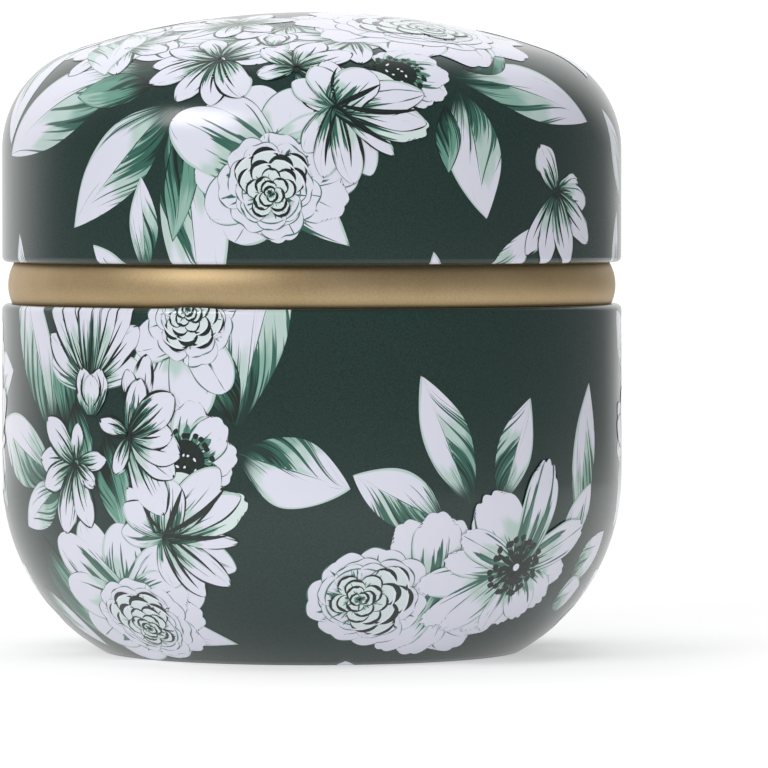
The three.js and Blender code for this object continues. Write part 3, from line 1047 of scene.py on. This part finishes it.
def lid_crown_spray(page):
    """Leaves and a blossom over the side of the crown."""
    page.leaves(
        ((8, 40), (30, 26), 4.0, 4.0), ((-8, 40), (-30, 26), 4.0, 4.0, -1), ((0, 36), (2, 16), 4.0, 4.0),
    )
    lily(
        Bloom(page, 0, 41), (180, 9, 4.4), (130, 9, 4.2), (-130, 9, 4.2), (80, 9, 4.2), (-80, 9, 4.2),
        (0, 9, 4.2),
    )


# ---- What a user would set ---------------------------------------------------------------------------


class CaddyMetal(bpy.types.PropertyGroup):
    """Finish of the tin's sheet metal."""

    round_steps: IntProperty(name="Steps round", description="Facets round the tin's axis",
                             default=240, min=48, max=360)
    gold: FloatVectorProperty(name="Gold lacquer", description="Colour of the neck ring and the inside",
                              default=linear("#C7B08B")[:3], subtype="COLOR", min=0, max=1)
    grain: FloatProperty(name="Grain", description="Size of the sheet's and the print's grain",
                         default=0.00022, unit="LENGTH", min=0.00005)
    varnish_roughness: FloatProperty(name="Varnish roughness", description="0 is a gloss varnish",
                                     default=0.2, subtype="FACTOR", min=0, max=1)


class CaddyPrint(bpy.types.PropertyGroup):
    """How the flowers are printed."""

    ink_thickness: FloatProperty(name="Ink thickness", description="Thickness of one layer of ink",
                                 default=0.000004, unit="LENGTH", min=0.000002)
    cell: FloatProperty(name="Cell", description="Size of the mesh cells that the ink is laid in",
                        default=0.0004, unit="LENGTH", min=0.0002)


class CaddyStage(bpy.types.PropertyGroup):
    """Studio and camera."""

    lens: FloatProperty(name="Lens", description="Focal length in mm", default=293.5, min=20)
    distance: FloatProperty(name="Distance", description="From the tin's axis to the camera",
                            default=0.861, unit="LENGTH", min=0.1)
    eye_height: FloatProperty(name="Eye height", description="Height of the camera above the floor",
                              default=0.0632, unit="LENGTH")
    look_down: FloatProperty(name="Look down", description="Downward tilt of the camera",
                             default=math.radians(1.77), subtype="ANGLE")
    look_right: FloatProperty(name="Look right", description="How far the camera looks past the tin",
                              default=math.radians(0.659), subtype="ANGLE")
    key_power: FloatProperty(name="Key light", description="Power of the soft light at the front left",
                             default=5.0, unit="POWER", min=0)
    top_power: FloatProperty(name="Top light", description="Power of the soft light over the tin",
                             default=6.0, unit="POWER", min=0)
    fill_power: FloatProperty(name="Fill light", description="Power of the wide light beside the camera",
                              default=10.0, unit="POWER", min=0)


# ---- The stage, in metres ----------------------------------------------------------------------------
# How far the camera sees, the floor, the middle of the shadow that shows on it, round which the floor's
# painted glow is weakest, and the direction of the studio's bright wall.

FAR_CLIP = 20
FLOOR_RADIUS = 0.5
SHADOW_MIDDLE = (0.09, 0, 0)
BRIGHT_SIDE = (-0.25, 0.92, 0.5)

# ---- Operators ---------------------------------------------------------------------------------------


class CADDY_OT_stage(bpy.types.Operator):
    """Sets up the floor, the soft lights and the camera"""

    bl_idname = "caddy.stage"
    bl_label = "Stage"

    def execute(self, context):
        look = context.scene.caddy_stage
        context.scene.view_settings.view_transform = "Standard"
        self.floor()
        self.surroundings(context)
        self.softbox("key_light", (-0.78, -0.76, 0.68), (0.6, 0.34), look.key_power, True)
        self.softbox("top_light", (0.0, 0.1, 1.1), (0.9, 0.9), look.top_power, False)
        self.softbox("fill_light", (0.1, -1.5, 0.7), (1.6, 1.0), look.fill_power, False)
        camera = placed("camera", bpy.data.cameras.new("camera"))
        camera.data.lens = look.lens
        camera.data.clip_end = FAR_CLIP
        camera.location = (0, -look.distance, look.eye_height)
        camera.rotation_euler = (math.pi / 2 - look.look_down, 0, -look.look_right)
        context.scene.camera = camera
        return {"FINISHED"}

    def floor(self):
        """A pale matt sweep that keeps the tin's shadow and turns pure white round it. The white is painted
        light: the floor glows more the further it lies from a point right of the tin, so its left is painted
        lighter, as if lit from the left, and the tin's shadow is painted paler. The paper itself also glows
        faintly.
        """
        material, tree = new_material("floor")
        place = add(tree, "TexCoord", out="Object")
        cloud = add(tree, "TexNoise", {"Vector": place, "Scale": 3.0})
        tone = add(tree, "Mix", {0: cloud, 6: linear("#ECECEC"), 7: linear("#F1F1F1")}, 2, data_type="RGBA")
        white = linear("#FFFFFF")
        # The paper's faint white emission is painted light that lifts the whole floor.
        paper = add(tree, "BsdfPrincipled", {
            "Base Color": tone, "Roughness": 0.9, "Specular IOR Level": 0.0,
            "Emission Color": white, "Emission Strength": 0.1,
        })
        # Painted light: the floor glows pure white away from a point right of the tin, so its left is painted
        # lighter and the tin's shadow paler.
        shaded = add(tree, "VectorMath", {0: place, 1: SHADOW_MIDDLE}, operation="SUBTRACT")
        far = add(tree, "VectorMath", {0: shaded}, "Value", operation="LENGTH")
        painted_glow_share = add(tree, "MapRange", {"Value": far, "From Min": 0.02, "From Max": 0.27, "To Min": 0.35},
                   interpolation_type="SMOOTHSTEP")
        glow = add(tree, "Emission", {"Color": white, "Strength": 1.0})
        surface = add(tree, "MixShader", {0: painted_glow_share, 1: paper, 2: glow})
        add(tree, "OutputMaterial", {"Surface": surface})
        bm = bmesh.new()
        bmesh.ops.create_circle(bm, cap_ends=True, segments=SMALL_STEPS, radius=FLOOR_RADIUS)
        floor = placed("floor", emptied(bm, "floor"))
        floor.data.materials.append(material)

    def surroundings(self, context):
        """A white studio that is dimmer in front of the tin, where the camera stands."""
        world = bpy.data.worlds.new("studio")
        world.use_nodes = True
        tree = world.node_tree
        tree.nodes.clear()
        toward = add(tree, "TexCoord", out="Generated")
        behind = add(tree, "VectorMath", {0: toward, 1: BRIGHT_SIDE}, "Value", operation="DOT_PRODUCT")
        span = {"From Min": 0.44, "From Max": 0.9, "To Min": 0.28, "To Max": 1.1}
        glow = add(tree, "MapRange", {"Value": behind, **span}, interpolation_type="SMOOTHSTEP")
        seen = add(tree, "LightPath", out="Is Camera Ray")
        strength = add(tree, "Math", {0: seen, 1: glow}, operation="MAXIMUM")
        lit = add(tree, "Background", {"Color": (1, 1, 1, 1), "Strength": strength})
        add(tree, "OutputWorld", {"Surface": lit})
        context.scene.world = world

    def softbox(self, name, place, size, power, mirrored):
        """A soft rectangular light that faces the tin. Its mirror image shows in the varnish if asked."""
        light = bpy.data.lights.new(name, "AREA")
        light.shape = "RECTANGLE"
        light.energy = power
        light.size, light.size_y = size
        box = placed(name, light)
        box.location = place
        box.visible_glossy = mirrored
        aim = Vector((0, 0, CROWN * MM / 2)) - box.location
        box.rotation_euler = aim.to_track_quat("-Z", "Y").to_euler()


class CADDY_OT_body(bpy.types.Operator):
    """Models the drawn body with its round heel, recessed bottom and rolled edge"""

    bl_idname = "caddy.body"
    bl_label = "Body"

    def execute(self, context):
        wall = OUTER - HALF
        heel, line = BodySide.heel, HEEL - HALF
        start = -math.degrees(math.asin((heel[1] - HALF) / line))
        inside = FOOT - FOOT_WIDTH
        panel, rounding = FOOT_RECESS + HALF, RECESS_ROUND
        middle = [
            Vector((0, panel)),
            *arc((inside - RECESS_SLOPE - rounding, panel - rounding), rounding, 90, 45, 4),
            Vector((inside, HALF)),
            *arc(heel, line, start, 0, HEEL_STEPS),
            *rolled_edge(wall, RIM, 1),
        ]
        sheet_piece("tin_body", middle, [lacquer(), ground()], "body", "body_shell")
        return {"FINISHED"}


class CADDY_OT_lid(bpy.types.Operator):
    """Models the domed lid with its rolled edge"""

    bl_idname = "caddy.lid"
    bl_label = "Lid"

    def execute(self, context):
        shoulder = LidSide.shoulder
        middle = [
            *crown_and_edge(CROWN - HALF, shoulder, SHOULDER - HALF, HEEL_STEPS),
            *rolled_edge(OUTER - HALF, EDGE, -1),
        ]
        sheet_piece("tin_lid", middle, [ground(), lacquer()], "lid", "lid_shell")
        return {"FINISHED"}


class CADDY_OT_neck(bpy.types.Operator):
    """Models the gold neck ring with its wide bead, its small locking bead and its rolled edge"""

    bl_idname = "caddy.neck"
    bl_label = "Neck ring"

    def execute(self, context):
        line = NECK - HALF
        lock_top = RIM - 2 * ROLL - LOCK_GAP
        middle = [
            Vector((line, neck_low.z)),
            *bulge_arc(line, LOCK_BULGE, lock_top - LOCK_HEIGHT, lock_top, 12),
            *bulge_arc(line, BAND_BULGE, RIM - BAND_TUCK, EDGE, BEAD_STEPS),
            *rolled_edge(line, neck_high.z, 1),
        ]
        sheet_piece("tin_neck", middle, [lacquer()], "body", "neck_ring")
        return {"FINISHED"}


class CADDY_OT_plug_lid(bpy.types.Operator):
    """Models the plug lid's pan and its seal"""

    bl_idname = "caddy.plug_lid"
    bl_label = "Plug lid"

    def execute(self, context):
        line = PLUG - HALF
        corner = PAN_CORNER - HALF
        floor, boss = pan_low.z + HALF, pan_low.z + BOSS_RISE + HALF
        middle = [
            Vector((HOLE, boss)),
            *arc((BOSS - BOSS_SLOPE - BOSS_ROUND, boss - BOSS_ROUND), BOSS_ROUND, 90, 56, 4),
            *reversed(arc((BOSS + BOSS_ROUND, floor + BOSS_ROUND), BOSS_ROUND, -90, -124, 4)),
            *arc((line - corner, floor + corner), corner, -90, 0, 10),
            Vector((line, pan_high.z - HALF)),
            Vector((pan_high.x, pan_high.z - HALF)),
        ]
        sheet_piece("plug_pan", middle, [lacquer()], "inner_lid", "inner_lid")

        bm = bmesh.new()
        steps = context.scene.caddy_metal.round_steps
        spin_line(bm, ring_line(PLUG + SEAL_GAP, seal_low, seal_high), 0, steps)
        finished(bm, "plug_seal", [silicone()], "inner_lid", ["inner_lid_seal"])
        return {"FINISHED"}


class CADDY_OT_knob(bpy.types.Operator):
    """Models the knob with the screw and washer that hold it"""

    bl_idname = "caddy.knob"
    bl_label = "Knob"

    def execute(self, context):
        self.knob()
        self.washer()
        self.screw()
        return {"FINISHED"}

    def knob(self):
        foot, top = knob_low.z, knob_high.z
        head = top - KNOB_HEAD
        edge, shoulder = (knob_high.x - KNOB_EDGE, head + KNOB_EDGE), KNOB_FOOT_ROUND
        hole_top = screw_high.z + HOLE_SPARE
        bm = bmesh.new()
        spin_line(bm, [
            *crown_and_edge(top, edge, KNOB_EDGE, 16),
            *arc(edge, KNOB_EDGE, 0, -90, 10)[1:],
            *reversed(bulge_arc(KNOB_NECK, -KNOB_WAIST, foot + KNOB_FOOT_HEIGHT, head, 16)),
            *arc((KNOB_FOOT - shoulder, foot + KNOB_FOOT_HEIGHT - shoulder), shoulder, 90, 0, 5),
            *arc((KNOB_FOOT - SMALL_BEVEL, foot + SMALL_BEVEL), SMALL_BEVEL, 0, -90, 3),
            Vector((HOLE, foot)),
            Vector((HOLE, hole_top)),
            Vector((0, hole_top)),
        ], 0, KNOB_STEPS)
        metal = turned_metal("turned_aluminium", ("#C4C7C9", "#D0D3D5"), 0.26, 0.0002)
        finished(bm, "plug_knob", [metal], "inner_lid", ["inner_lid_knob"])

    def washer(self):
        bm = bmesh.new()
        spin_line(bm, ring_line(HOLE, washer_low, washer_high), 0, SMALL_STEPS)
        finished(bm, "knob_washer_disc", [zinc()], "inner_lid", ["knob_washer"])

    def screw(self):
        """The screw, with a slot cut across its head."""
        low, tip, head = screw_low.z, screw_high.z, screw_high.x
        bm = bmesh.new()
        spin_line(bm, [
            Vector((0, low)),
            *arc((head - HEAD_ROUND, low + HEAD_ROUND), HEAD_ROUND, -90, 0, 8),
            Vector((head, low + HEAD_HEIGHT)),
            Vector((SHANK, low + HEAD_HEIGHT)),
            Vector((SHANK, tip - SHANK_CHAMFER)),
            Vector((SHANK - SHANK_CHAMFER, tip)),
            Vector((0, tip)),
        ], 0, SMALL_STEPS)
        piece = finished(bm, "knob_screw_slotted", [zinc()], "inner_lid", ["knob_screw"])
        cutter = bmesh.new()
        bmesh.ops.create_cube(cutter, size=1)
        bmesh.ops.scale(cutter, vec=Vector((4 * head, SLOT_WIDTH, 2 * SLOT_DEPTH)) * MM, verts=cutter.verts)
        bmesh.ops.translate(cutter, vec=(0, 0, low * MM), verts=cutter.verts)
        tool = placed("slot", emptied(cutter, "slot"))
        cut = piece.modifiers.new("slot", "BOOLEAN")
        cut.operation, cut.solver, cut.object = "DIFFERENCE", "EXACT", tool
        evaluated = piece.evaluated_get(bpy.context.evaluated_depsgraph_get())
        slotted = bpy.data.meshes.new_from_object(evaluated)
        piece.modifiers.clear()
        piece.data = slotted
        bpy.data.objects.remove(tool)


class CADDY_OT_body_print(bpy.types.Operator):
    """Prints the bouquets on the body"""

    bl_idname = "caddy.body_print"
    bl_label = "Body print"

    def execute(self, context):
        print_bouquets(
            BodySide(),
            ("print_body_front_left", body_left_bouquet, 1, 0),
            ("print_body_front_right", body_right_bouquet, 2, 0),
            ("print_body_back_left", body_left_bouquet, 3, 180),
            ("print_body_back_right", body_right_bouquet, 4, 180),
            ("print_body_right_filling", body_filling, 5, 90),
            ("print_body_left_filling", body_filling, 6, 270),
        )
        return {"FINISHED"}


class CADDY_OT_lid_print(bpy.types.Operator):
    """Prints the bouquets on the lid"""

    bl_idname = "caddy.lid_print"
    bl_label = "Lid print"

    def execute(self, context):
        print_bouquets(
            LidSide(),
            ("print_lid_front", lid_bouquet, 11, 0),
            ("print_lid_back", lid_bouquet, 12, 180),
            ("print_lid_right", lid_crown_spray, 13, 105),
            ("print_lid_left", lid_crown_spray, 14, 285),
        )
        return {"FINISHED"}


class CADDY_PT_panel(bpy.types.Panel):
    """Lists the tin's pieces and settings"""

    bl_idname = "CADDY_PT_panel"
    bl_label = "Tea caddy"
    bl_space_type = "VIEW_3D"
    bl_region_type = "UI"
    bl_category = "Tea caddy"

    def draw(self, context):
        layout = self.layout
        for group in (context.scene.caddy_metal, context.scene.caddy_print, context.scene.caddy_stage):
            for name in group.__annotations__:
                layout.prop(group, name)
        for operator in OPERATORS:
            layout.operator(operator.bl_idname)


OPERATORS = (
    CADDY_OT_stage,
    CADDY_OT_body,
    CADDY_OT_neck,
    CADDY_OT_lid,
    CADDY_OT_plug_lid,
    CADDY_OT_knob,
    CADDY_OT_body_print,
    CADDY_OT_lid_print,
)
GROUPS = {"caddy_metal": CaddyMetal, "caddy_print": CaddyPrint, "caddy_stage": CaddyStage}


def register():
    for item in (*GROUPS.values(), *OPERATORS, CADDY_PT_panel):
        bpy.utils.register_class(item)
    for name, group in GROUPS.items():
        setattr(bpy.types.Scene, name, PointerProperty(type=group))


def unregister():
    for name in GROUPS:
        delattr(bpy.types.Scene, name)
    for item in (CADDY_PT_panel, *reversed(OPERATORS), *reversed(GROUPS.values())):
        bpy.utils.unregister_class(item)


def main():
    register()
    for operator in OPERATORS:
        area, name = operator.bl_idname.split(".")
        getattr(getattr(bpy.ops, area), name)()


if __name__ == "__main__":
    main()
